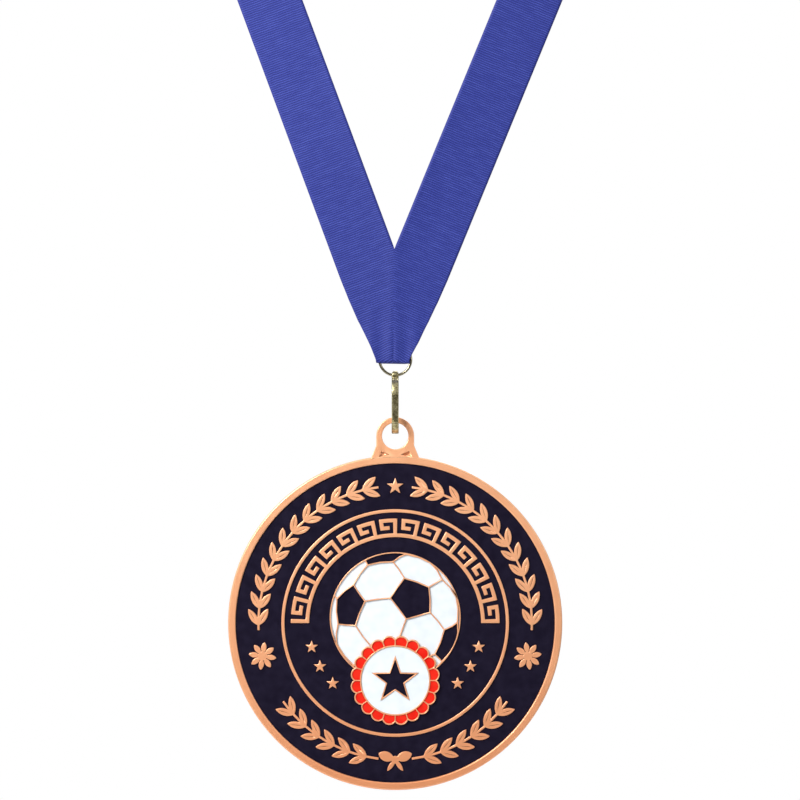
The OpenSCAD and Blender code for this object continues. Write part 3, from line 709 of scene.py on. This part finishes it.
gate_pin = merged_copy("clip_pin")
print("pin edges rounded:", round_edges(gate_pin, anywhere, mm(0.12)))
stand_in(finished_piece(gate_pin, "gate_pin", clip_metal), "clip_pin", "clip")

# %% [markdown]
# A jump ring is a wire that was wound round a rod and cut off, so it has a joint where its two ends
# meet. A torus has no joint. So one end circle is spun round the ring's middle for a little less
# than a full turn, and its faces are left as the cut ends, with a small burr rounded off.

# %% The jump ring
ring_low, ring_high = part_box("jump_ring")
ring_middle = (ring_low + ring_high) / 2
RING_WIRE_R = (ring_high.y - ring_low.y) / 2
RING_R = (ring_high.x - ring_low.x) / 2 - RING_WIRE_R
JOINT_ANGLE = mm(0.12) / RING_R
JOINT_PLACE = math.radians(62)
wire = bmesh.new()
end_circle = bmesh.ops.create_circle(wire, cap_ends=True, radius=RING_WIRE_R, segments=20)["verts"]
bmesh.ops.translate(wire, verts=end_circle, vec=(RING_R, 0, 0))
start_turn = Matrix.Rotation(JOINT_ANGLE / 2 - JOINT_PLACE, 3, "Y")
bmesh.ops.rotate(wire, verts=end_circle, matrix=start_turn)
bmesh.ops.spin(
    wire,
    geom=list(wire.faces) + list(wire.edges) + list(wire.verts),
    cent=(0, 0, 0),
    axis=(0, 1, 0),
    angle=2 * math.pi - JOINT_ANGLE,
    steps=120,
    use_merge=False,
)
bmesh.ops.translate(wire, verts=wire.verts, vec=ring_middle)
bmesh.ops.remove_doubles(wire, verts=wire.verts, dist=mm(0.001))
bmesh.ops.recalc_face_normals(wire, faces=wire.faces)
print("cut edges rounded:", round_edges(wire, anywhere, mm(0.08), 2, 60))
print("ring faces:", len(wire.faces), "open edges:", sum(not edge.is_manifold for edge in wire.edges))
stand_in(finished_piece(wire, "split_ring_wire", ring_wire), "jump_ring", "root")

# %% [markdown]
# The ribbon is one woven band, 22 mm wide. It lies flat on the chest, turns over the shoulders and
# passes behind the neck. A cloth simulation would stretch it, and a real woven band doesn't
# stretch: it can only follow a cone, as a paper strip does. So the CAD source bends it round a cone
# with rounded corners. The same rules are repeated here. The cone's tilt has no formula, so it is
# found by halving a range until the unrolled angle fits.

# %% The neck's cone
BAND_W = mm(22)
BAND_T = mm(0.75)
LOOP_LENGTH = mm(780)
V_HALF = math.radians(21.3)
FLAT_HALF = math.radians(10.5)
CAD_BAND_T = mm(1)

cone_half = math.radians(90) - V_HALF
tip_distance = LOOP_LENGTH / (2 * math.sin(cone_half))
back_distance = tip_distance * math.cos(cone_half)


def unrolled(tilt):
    """The whole unrolled angle of half the cone, when its back is tilted so."""
    corner = math.atan(math.tan(tilt) * math.cos(FLAT_HALF))
    turn = 2 * math.acos(math.sin(FLAT_HALF) * math.sin(tilt))
    return 2 * FLAT_HALF + turn * math.sin(corner)


low, high = math.radians(5), math.radians(40)
for _ in range(50):
    tilt = (low + high) / 2
    low, high = (tilt, high) if unrolled(tilt) < cone_half else (low, tilt)
print("cone tilt:", round(math.degrees(tilt), 3), "tip to chest:", round(tip_distance, 4))

# %% Bend a flat point round the neck
corner_half = math.atan(math.tan(tilt) * math.cos(FLAT_HALF))
front_edge = Vector((math.sin(FLAT_HALF), 0, -math.cos(FLAT_HALF)))
corner_axis = math.cos(corner_half) * front_edge + math.sin(corner_half) * Vector((0, 1, 0))
back_down = Vector((0, math.sin(2 * tilt), -math.cos(2 * tilt)))
back_out = Vector((0, math.cos(2 * tilt), math.sin(2 * tilt)))
cone_tip = -back_distance * back_down + CAD_BAND_T / 2 * back_out


def cone_line(angle):
    """Direction and outward normal of the cone's line at an unrolled angle, on the right side."""
    if angle <= FLAT_HALF:
        return Vector((math.sin(angle), 0, -math.cos(angle))), Vector((0, -1, 0))
    if angle >= cone_half - FLAT_HALF:
        rest = cone_half - angle
        return math.cos(rest) * back_down + Vector((math.sin(rest), 0, 0)), back_out
    turn = Matrix.Rotation(-(angle - FLAT_HALF) / math.sin(corner_half), 3, corner_axis)
    return turn @ front_edge, turn @ Vector((0, -1, 0))


def on_neck(right, up, out):
    """A flat point, measured from the tip of the V, bent round the neck."""
    down = tip_distance - up
    direction, normal = cone_line(math.atan2(right, down))
    return cone_tip + math.hypot(right, down) * direction + out * normal


nape = on_neck(tip_distance * math.tan(cone_half) / 2, tip_distance / 2, 0.0)
print("near the nape:", tuple(round(c, 4) for c in nape))

# %% [markdown]
# Each half of the ribbon is one grid. Its rows lie across the band and its columns run along it.
# Where the two halves meet in front they are mitred, so there each row starts on the seam instead
# of on the inner edge. Lower down the band is gathered, folds back through the ring round the wire,
# and runs up behind as a short tab that is sewn on. A table says how far it is gathered at each
# height.

# %% Where a row of the ribbon starts and ends, laid flat
LEAN = math.radians(1.0)
FOLD_DROP = mm(11.2)
WIRE_R = mm(0.5)
CLOTH_GAP = mm(0.15)
TAB_LENGTH = mm(21)
GATHER_H = mm(22)
GATHER = ((0.0, 0.79), (0.3, 0.857), (0.63, 0.945), (0.95, 0.985), (1.3, 1.0))

lean_turn = Matrix.Rotation(LEAN, 3, "Y")
v_tip = lean_turn @ (cone_tip + Vector((0, 0, -tip_distance)))
layer_y = WIRE_R + CLOTH_GAP
half_w = BAND_W / 2
fork_up = half_w / math.sin(V_HALF)
fork_along = half_w / math.tan(V_HALF)
fold_up = layer_y + CAD_BAND_T - FOLD_DROP
bend_r = layer_y + CAD_BAND_T / 2
bend_length = math.pi * bend_r


def strand_point(along, across):
    """A place on the right strand, flat, as right and up from the tip of the V."""
    right = along * math.sin(V_HALF) + across * math.cos(V_HALF)
    return Vector((right, along * math.cos(V_HALF) - across * math.sin(V_HALF)))


def between(table, share):
    """The value at a share, from a table of share and value."""
    for (x0, y0), (x1, y1) in zip(table, table[1:]):
        if share <= x1:
            return y0 + (y1 - y0) * max(0.0, (share - x0) / (x1 - x0))
    return table[-1][1]


def gather_share(up):
    """How much of its width the V keeps at a height."""
    return between(GATHER, (up - fold_up) / GATHER_H)


free_fold_half = max(0.0, fold_up * math.tan(V_HALF) + half_w / math.cos(V_HALF))
fold_half = free_fold_half * gather_share(fold_up)
print("V tip:", tuple(round(c, 5) for c in v_tip), "fork height:", round(fork_up, 5))
print("half width at the fold:", round(fold_half, 5), "length of the bend:", round(bend_length, 5))

# %% [markdown]
# The grid has its own rhythm: the bend round the wire is less than 4 mm long and needs the closest
# rows, the strands hardly curve and need few. A subdivision surface would round off the mitre and
# the fold, so the grid is made fine enough to do without one.

# %% The rows from the tab's end to the nape
COLUMNS = 22


def row_places(start, end, step):
    """Evenly spaced places from start up to end, without the end."""
    count = max(1, round((end - start) / step))
    return [start + (end - start) * i / count for i in range(count)]


strand_end = tip_distance * math.cos(V_HALF)
rows = [("tab", t) for t in row_places(TAB_LENGTH, 0, mm(-0.7))]
rows += [("bend", t) for t in row_places(bend_length, 0, mm(-0.15))]
rows += [("vee", t) for t in row_places(0.0, 1.0, 0.016)]
rows += [("strand", t) for t in row_places(fork_along, strand_end, mm(1.5))]
rows += [("strand", strand_end)]
print("ribbon rows:", len(rows), "columns:", COLUMNS)

# %% [markdown]
# No hung ribbon is quite flat. Slow waves run over the strands, small pleats stand near the fold,
# and the seam makes a soft ridge in front. They are sums of sines and one falling curve, added
# along the cloth's own normal, so they are the same on every run.

# %% How far the cloth stands out
SLOW_WAVE, WAVE_UP, WAVE_RIGHT = 0.22, 95, 70
PLEAT_WAVE, PLEAT_RIGHT = 0.2, 900
RIDGE_H = mm(0.7)
RIDGE_W = mm(4.5)
SEAM_DIP, SEAM_W = mm(0.16), mm(0.5)


def smooth(share):
    """A share from 0 to 1 that starts and ends gently."""
    share = min(1.0, max(0.0, share))
    return share * share * (3 - 2 * share)


def cloth_wave(right, up, from_seam):
    """How far the cloth stands out at a flat place, at a distance from the seam."""
    slow = SLOW_WAVE * math.sin(up * WAVE_UP + 1.3) * math.sin(right * WAVE_RIGHT + 0.4)
    near_fold = smooth((mm(14) - up) / mm(20))
    pleat = PLEAT_WAVE * math.sin(right * PLEAT_RIGHT + 0.7) * near_fold
    ridge_share = smooth((up - fold_up) / mm(14)) * (1 - smooth((up - mm(60)) / mm(90)))
    return mm(slow + pleat) - RIDGE_H * (1 - math.exp(-from_seam / RIDGE_W)) * ridge_share


print("wave on a strand, mm:", round(cloth_wave(mm(30), mm(80), mm(11)) / MM, 3))

# %% [markdown]
# A point of the ribbon has two places: one on the flat cloth, which the weave and the cut size are
# read from, and one in space. Four rules give them, for the strand, the mitred V, the bend round
# the wire and the tab behind.

# %% Place a point of the ribbon
FOLD_NARROW = mm(4.45)
TAB_FLARE = mm(1.4)
TAB_REST = mm(0.06)
NARROW_FROM, NARROW_OVER = math.radians(55), math.radians(25)
PENDANT_SHIFT = mm(0.8)
VEE_SHIFT = mm(0.35)
RIGHT_PINCH = 0.1
fold_foot = cone_tip + Vector((0, 0, fold_up - tip_distance))


def tab_half(t):
    """Half the width of the tab, which opens a little above the ring."""
    return FOLD_NARROW + TAB_FLARE * smooth((t - mm(6)) / mm(7))


def ribbon_place(part, t, share):
    """A point of the right half: its flat place on the cloth, and its place before the lean."""
    if part == "strand":
        flat = strand_point(t, (2 * share - 1) * half_w)
        return flat, on_neck(flat.x, flat.y, cloth_wave(flat.x, flat.y, share * BAND_W))
    if part == "vee":
        seam = Vector((0, fold_up + t * (fork_up - fold_up)))
        edge = Vector((free_fold_half, fold_up)).lerp(strand_point(fork_along, half_w), t)
        flat = seam.lerp(edge, share)
        right = flat.x * gather_share(flat.y)
        seam_dip = -SEAM_DIP * math.exp(-((right / SEAM_W) ** 2))
        return flat, on_neck(right, flat.y, cloth_wave(right, flat.y, right) + seam_dip)
    if part == "bend":
        turn = t / bend_r
        narrowed = smooth((turn - NARROW_FROM) / NARROW_OVER)
        right = share * (fold_half + (FOLD_NARROW - fold_half) * narrowed)
        flat = Vector((share * free_fold_half, fold_up - t))
        fade = 1 - smooth(turn / math.radians(60))
        depth = bend_r * (1 - math.cos(turn)) - cloth_wave(right, fold_up, right) * fade
        return flat, fold_foot + Vector((right, depth, -bend_r * math.sin(turn)))
    flat = Vector((share * free_fold_half, fold_up - bend_length - t))
    behind = 2 * bend_r + (BAND_T + TAB_REST - 2 * bend_r) * smooth((t - mm(5.5)) / mm(7))
    return flat, fold_foot + Vector((share * tab_half(t), behind, t))


def pendant_shift(part, t):
    """The pendant hangs a little to the right of the V's tip, so the fold drifts that way."""
    if part == "strand":
        return 0.0
    if part == "vee":
        return VEE_SHIFT * (1 - smooth(t / 0.5))
    if part == "bend":
        return VEE_SHIFT + (PENDANT_SHIFT - VEE_SHIFT) * smooth(t / bend_length * 1.5)
    return PENDANT_SHIFT


def kept_width(part, t, side):
    """How much of its width a half keeps. The right one is gathered more at the fold."""
    if side < 0 or part == "strand":
        return 1.0
    return 1 - RIGHT_PINCH * (1 - smooth(t / 0.22)) if part == "vee" else 1 - RIGHT_PINCH


# %% [markdown]
# The cloth starts as a flat grid for each half. Every point is moved to its place, and the flat
# place is kept as a map in millimetres, because a weave has to follow the threads and not the room.
# The halves are joined at the seam and at the nape, and Solidify gives the cloth its thickness.

# %% Bend a flat grid into each half and join them
RIB_PITCH = 0.785
# A whole number of ribs apart, so the halves' ribs meet and their noise differs
HALF_START = 1000 * RIB_PITCH


def ribbon_half(cloth_mesh, uv_layer, side):
    """Adds one half of the ribbon. Side is 1 for the right and -1 for the left."""
    made = bmesh.ops.create_grid(cloth_mesh, x_segments=COLUMNS, y_segments=len(rows) - 1, size=0.5)
    flat_place = {}
    for vertex in made["verts"]:
        share = vertex.co.x + 0.5
        part, t = rows[round((vertex.co.y + 0.5) * (len(rows) - 1))]
        flat, point = ribbon_place(part, t, share)
        flat_place[vertex] = flat
        point.x *= side * kept_width(part, t, side)
        vertex.co = lean_turn @ point + Vector((pendant_shift(part, t), 0, 0))
    faces = {face for vertex in made["verts"] for face in vertex.link_faces}
    for face in faces:
        for corner in face.loops:
            flat = flat_place[corner.vert]
            across = flat.x * math.cos(V_HALF) - flat.y * math.sin(V_HALF)
            along = flat.x * math.sin(V_HALF) + flat.y * math.cos(V_HALF)
            corner[uv_layer].uv = (across / MM, along / MM - side * HALF_START)
    if side < 0:
        bmesh.ops.reverse_faces(cloth_mesh, faces=list(faces))


cloth_mesh = bmesh.new()
uv_layer = cloth_mesh.loops.layers.uv.new("cloth")
for side in (1, -1):
    ribbon_half(cloth_mesh, uv_layer, side)
bmesh.ops.remove_doubles(cloth_mesh, verts=cloth_mesh.verts, dist=mm(0.01))
ribbon_area = sum(face.calc_area() for face in cloth_mesh.faces)
neck_ribbon = add_object("neck_ribbon", cloth_mesh)
wall = neck_ribbon.modifiers.new("thickness", "SOLIDIFY")
wall.thickness = BAND_T
wall.offset = 0
neck_ribbon.data.shade_smooth()

# %% [markdown]
# Grosgrain is woven with thick weft cords under a fine warp, so it shows ribs straight across the
# band, about 13 to the centimetre. Each rib breaks the light into short dashes. Ribs as geometry
# would take a million faces, so a pattern makes them. It reads the cloth's own map, which counts
# millimetres across and along the band, so the ribs meet in arrows at the mitred seam.

# %% The grosgrain's weave
THREAD_PITCH = 0.24
DASH_LENGTH, DASH_SHIFT = 6.0, 7.37
grosgrain, tree, shader = new_material(
    "grosgrain", Roughness=0.62, Sheen_Weight=0.25, Sheen_Roughness=0.4, Specular_IOR_Level=0.3
)
shader.inputs["Sheen Tint"].default_value = screen_colour(150, 160, 235)
cloth_map = add_node(tree, "ShaderNodeUVMap", uv_map="cloth").outputs[0]
across, along = add_node(tree, "ShaderNodeSeparateXYZ", {0: cloth_map}).outputs[:2]
waver_names = {"Vector": cloth_map, "Scale": (0.35, 0.1, 1.0)}
waver = noise(tree, add_node(tree, "ShaderNodeMapping", waver_names).outputs[0], 1.0)
rib_place = math_node(tree, "DIVIDE", along, RIB_PITCH)
rib_place = math_node(tree, "ADD", rib_place, times(tree, waver, 0.5))
rib_wave = math_node(tree, "SINE", times(tree, rib_place, 2 * math.pi))
rib = stretch_range(tree, rib_wave, -0.75, 0.85)
rib_number = math_node(tree, "FLOOR", rib_place)
dash_names = {
    0: math_node(tree, "DIVIDE", across, DASH_LENGTH),
    1: times(tree, rib_number, DASH_SHIFT),
}
dash_place = add_node(tree, "ShaderNodeCombineXYZ", dash_names).outputs[0]
dashes = stretch_range(tree, noise(tree, dash_place, 1.0, 1.0, 0.5), 0.4, 0.7)
thread_wave = math_node(tree, "SINE", times(tree, across, 2 * math.pi / THREAD_PITCH))
threads = stretch_range(tree, thread_wave, -1.0, 1.0)
print("ribs to the centimetre:", round(10 / RIB_PITCH, 1))

# %% [markdown]
# The dye is one royal blue. The grooves between the ribs are painted darker as painted shade, and
# the crowns of the ribs get painted highlights in dashes. The woven edge, the selvage, is closer and
# a little darker than the rest. The same rib pattern drives the bump, so colour and relief lie on
# each other.

# %% The grosgrain's colour and relief
GROOVE_SHADE_BLUE, RIB_BLUE = screen_colour(27, 36, 110), screen_colour(48, 60, 148)
DASH_HIGHLIGHT_BLUE, SELVAGE_BLUE = screen_colour(78, 92, 182), screen_colour(38, 46, 128)
dash_highlight_share = times(tree, dashes, times(tree, rib, 0.35))
from_edge = math_node(tree, "SUBTRACT", half_w / MM, math_node(tree, "ABSOLUTE", across))
selvage = times(tree, stretch_range(tree, from_edge, 0.9, 0.4), 0.55)
# Painted shade in the grooves and painted highlights on the rib crowns, in dashes.
tone = mix_colours(tree, rib, GROOVE_SHADE_BLUE, RIB_BLUE)
tone = mix_colours(tree, dash_highlight_share, tone, DASH_HIGHLIGHT_BLUE)
tone = mix_colours(tree, selvage, tone, SELVAGE_BLUE)
feed(shader, "Base Color", tone)
relief = math_node(tree, "ADD", rib, times(tree, threads, 0.08))
feed(shader, "Normal", raised(tree, relief, 0.42, mm(0.14)))
neck_ribbon.data.materials.append(grosgrain)
print("grosgrain nodes:", len(tree.nodes))

# %% [markdown]
# The tab is sewn down with a small box of stitches, which keeps the ring in its fold. A dashed
# texture would look flat from near by, so each stitch is a short bead of thread, laid along or
# across the tab where its back is.

# %% Stitches that hold the tab
STITCH_L = mm(1.72)
STITCH_R = mm(0.16)
BOX_LOW, BOX_HIGH, BOX_HALF = mm(12.5), mm(19.5), mm(4.6)
ACROSS_STITCHES, UPRIGHT_STITCHES = 5, 4
stitch_mesh = bmesh.new()


def tab_back(right, t):
    """A point on the back of the tab, and the direction up along it."""
    points = []
    for step in (t, t + mm(0.2)):
        _, point = ribbon_place("tab", step, abs(right) / tab_half(t))
        point.x *= 1 if right >= 0 else -1
        off_cloth = Vector((PENDANT_SHIFT, BAND_T / 2 + STITCH_R * 0.4, 0))
        points.append(lean_turn @ point + off_cloth)
    return points[0], (points[1] - points[0]).normalized()


def add_stitch(right, t, sideways):
    """One short bead of thread, along or across the tab."""
    place, up = tab_back(right, t)
    made = bmesh.ops.create_uvsphere(stitch_mesh, u_segments=6, v_segments=4, radius=0.5)
    size = (2 * STITCH_R, 2 * STITCH_R, STITCH_L)
    bmesh.ops.scale(stitch_mesh, verts=made["verts"], vec=size)
    direction = Vector((1, 0, 0)) if sideways else up
    turn = Vector((0, 0, 1)).rotation_difference(direction).to_matrix()
    bmesh.ops.rotate(stitch_mesh, verts=made["verts"], matrix=turn)
    bmesh.ops.translate(stitch_mesh, verts=made["verts"], vec=place)


for t in (BOX_LOW, BOX_HIGH):
    for i in range(ACROSS_STITCHES):
        add_stitch(-BOX_HALF + (2 * i + 1) * BOX_HALF / ACROSS_STITCHES, t, True)
for right in (-BOX_HALF, BOX_HALF):
    for i in range(UPRIGHT_STITCHES):
        add_stitch(right, BOX_LOW + (i + 0.5) * (BOX_HIGH - BOX_LOW) / UPRIGHT_STITCHES, False)
tab_stitches = add_object("tab_stitches", stitch_mesh)
tab_stitches.data.shade_smooth()
print("stitches:", 2 * (ACROSS_STITCHES + UPRIGHT_STITCHES))

# %% [markdown]
# The thread is twisted polyester, lighter than the band. A stitch is tiny, so noise as fine as the
# twist is enough.

# %% Sewing thread
thread, tree, shader = new_material("sewing_thread", Roughness=0.55, Sheen_Weight=0.3)
twist = noise(tree, object_place(tree), mm(0.3), 2.0)
tone = mix_colours(tree, twist, screen_colour(44, 52, 150), screen_colour(96, 104, 200))
feed(shader, "Base Color", tone)
tab_stitches.data.materials.append(thread)
print("thread nodes:", len(tree.nodes))

# %% [markdown]
# The ribbon is a sheet that hangs from the neck with the ring in its fold, and it was cut from one
# band. Its flat length is its area over its width, because cloth keeps its area when it bends. Here
# the ribbon and its stitches ride on the root and stand in for the CAD ribbon, which is hidden.

# %% The cloth rides on the root
for piece in (neck_ribbon, tab_stitches):
    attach(piece, "root")
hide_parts("ribbon")

# %% [markdown]
# A pale floor lies well below the hanging medal. A floor close by would show as a grey band in the
# picture and throw its own light up at the rim, so there is a quarter of a metre of air between
# them.

# %% Floor
FLOOR_DROP = mm(250)
FLOOR_R = 0.6
floor_mesh = bmesh.new()
bmesh.ops.create_circle(floor_mesh, cap_ends=True, radius=FLOOR_R, segments=96)
bmesh.ops.translate(floor_mesh, verts=floor_mesh.verts, vec=(0, 0, casting_low.z - FLOOR_DROP))
floor = add_object("floor", floor_mesh)
pale, _, shader = new_material("pale_floor", Roughness=0.8, Specular_IOR_Level=0.1)
shader.inputs["Base Color"].default_value = (0.9, 0.9, 0.9, 1.0)
floor.data.materials.append(pale)
print("floor height:", round(casting_low.z - FLOOR_DROP, 4))

# %% [markdown]
# The air round the object is white, as paper is. Polished metal shows what is in front of it, so a
# room that is white all round would make it milky. The light of the air is therefore weaker towards
# the camera's side and from below, which keeps the dark enamel deep. The camera's own rays see
# plain white.

# %% Air
WHITE = (1.0, 1.0, 1.0, 1.0)
world = bpy.data.worlds.new("studio")
bpy.context.scene.world = world
world.use_nodes = True
tree = world.node_tree
tree.nodes.clear()
direction = add_node(tree, "ShaderNodeTexCoord").outputs["Generated"]
axes = add_node(tree, "ShaderNodeSeparateXYZ", {0: direction})
front_is_dark = stretch_range(tree, axes.outputs[1], -0.99, -0.72, 0.04, 0.5)
below_is_dark = stretch_range(tree, axes.outputs[2], -0.6, 0.4, 0.25, 1.0)
brightness = times(tree, front_is_dark, below_is_dark)
lighting = add_node(tree, "ShaderNodeBackground", {"Color": WHITE, "Strength": brightness})
seen = add_node(tree, "ShaderNodeBackground", {"Color": WHITE, "Strength": 1.0})
from_camera = add_node(tree, "ShaderNodeLightPath").outputs["Is Camera Ray"]
air_names = {0: from_camera, 1: lighting.outputs[0], 2: seen.outputs[0]}
air = add_node(tree, "ShaderNodeMixShader", air_names)
add_node(tree, "ShaderNodeOutputWorld", {"Surface": air.outputs[0]})
print("air nodes:", len(tree.nodes))

# %% [markdown]
# One soft square light stands close by, high on the left, as in the photograph. It is near, so its
# light falls off from the ribbon down to the lower rim. A weaker, wider one on the right opens the
# shadows, and one from behind lights the back and the ribbon's far side.

# %% Lights


def softbox(name, place, target, size, power):
    """A square light that faces a target."""
    data = bpy.data.lights.new(name, "AREA")
    data.shape = "SQUARE"
    data.size = size
    data.energy = power
    lamp = add_object(name, data)
    lamp.location = place
    lamp.rotation_euler = (Vector(target) - Vector(place)).to_track_quat("-Z", "Y").to_euler()
    print(name, "power in watts:", power)


light_target = (disc_x, face_y, disc_z + mm(80))
softbox("key_light", (-0.42, -0.52, 0.0), light_target, size=0.3, power=6.6)
softbox("fill_light", (0.9, -0.8, -0.1), light_target, size=0.7, power=2.4)
softbox("back_light", (0.2, 1.0, 0.5), light_target, size=0.8, power=6.5)

# %% [markdown]
# Last, the scene is brought up to date. Then the frame checks every piece and writes its table.

# %% Bring the scene up to date
bpy.context.view_layer.update()
